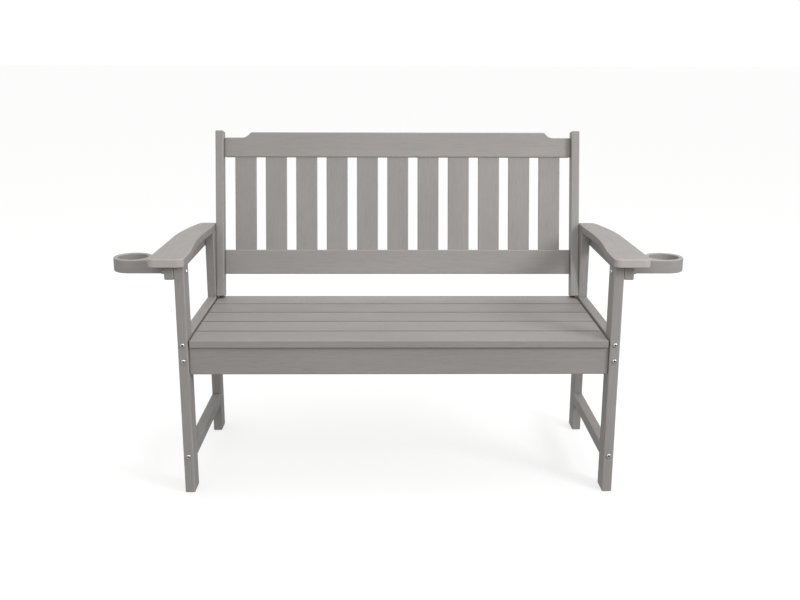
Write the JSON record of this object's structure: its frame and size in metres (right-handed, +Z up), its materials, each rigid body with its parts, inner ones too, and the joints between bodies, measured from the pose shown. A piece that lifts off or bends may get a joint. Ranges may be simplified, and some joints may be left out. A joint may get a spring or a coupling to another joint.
{
  "type": "garden bench",
  "caption": "Slatted garden bench with a reclined back panel, S-curved arms and a ring-shaped cup holder fixed outside each arm.",
  "frame": {"origin": "on the ground, below the middle of the bench's overall box", "axes": "+X along the seat to the right as seen from the front, +Y from the front to the back, +Z up"},
  "size_m": [1.489, 0.6134, 0.9087],
  "materials": {
    "poly_board": "satin moulded board with a faint embossed wood grain",
    "holder_plastic": "satin, smooth moulded",
    "bolt_steel": "bright zinc-plated"
  },
  "bodies": {
    "root": {"arm_bearer_left": "poly_board", "arm_bearer_right": "poly_board", "arm_bolt_left": "bolt_steel", "arm_bolt_right": "bolt_steel", "armrest_left": "poly_board", "armrest_right": "poly_board", "back_bolt_left": "bolt_steel", "back_bolt_right": "bolt_steel", "back_bottom_rail": "poly_board", "back_slat_1": "poly_board", "back_slat_10": "poly_board", "back_slat_11": "poly_board", "back_slat_2": "poly_board", "back_slat_3": "poly_board", "back_slat_4": "poly_board", "back_slat_5": "poly_board", "back_slat_6": "poly_board", "back_slat_7": "poly_board", "back_slat_8": "poly_board", "back_slat_9": "poly_board", "back_stile_left": "poly_board", "back_stile_right": "poly_board", "back_top_rail": "poly_board", "cup_holder_bolt_left_front": "bolt_steel", "cup_holder_bolt_left_rear": "bolt_steel", "cup_holder_bolt_right_front": "bolt_steel", "cup_holder_bolt_right_rear": "bolt_steel", "cup_holder_left": "holder_plastic", "cup_holder_right": "holder_plastic", "front_apron": "poly_board", "front_bolt_left_lower": "bolt_steel", "front_bolt_left_middle": "bolt_steel", "front_bolt_left_upper": "bolt_steel", "front_bolt_right_lower": "bolt_steel", "front_bolt_right_middle": "bolt_steel", "front_bolt_right_upper": "bolt_steel", "front_leg_left": "poly_board", "front_leg_right": "poly_board", "lower_stretcher_left": "poly_board", "lower_stretcher_right": "poly_board", "rear_apron": "poly_board", "rear_bolt_left_lower": "bolt_steel", "rear_bolt_left_middle": "bolt_steel", "rear_bolt_left_upper": "bolt_steel", "rear_bolt_right_lower": "bolt_steel", "rear_bolt_right_middle": "bolt_steel", "rear_bolt_right_upper": "bolt_steel", "rear_leg_left": "poly_board", "rear_leg_right": "poly_board", "seat_batten_left": "poly_board", "seat_batten_right": "poly_board", "seat_cleat_left": "poly_board", "seat_cleat_right": "poly_board", "seat_slat_1": "poly_board", "seat_slat_2": "poly_board", "seat_slat_3": "poly_board", "seat_slat_4": "poly_board", "seat_slat_5": "poly_board", "side_rail_left": "poly_board", "side_rail_right": "poly_board"}
  },
  "joints": []
}
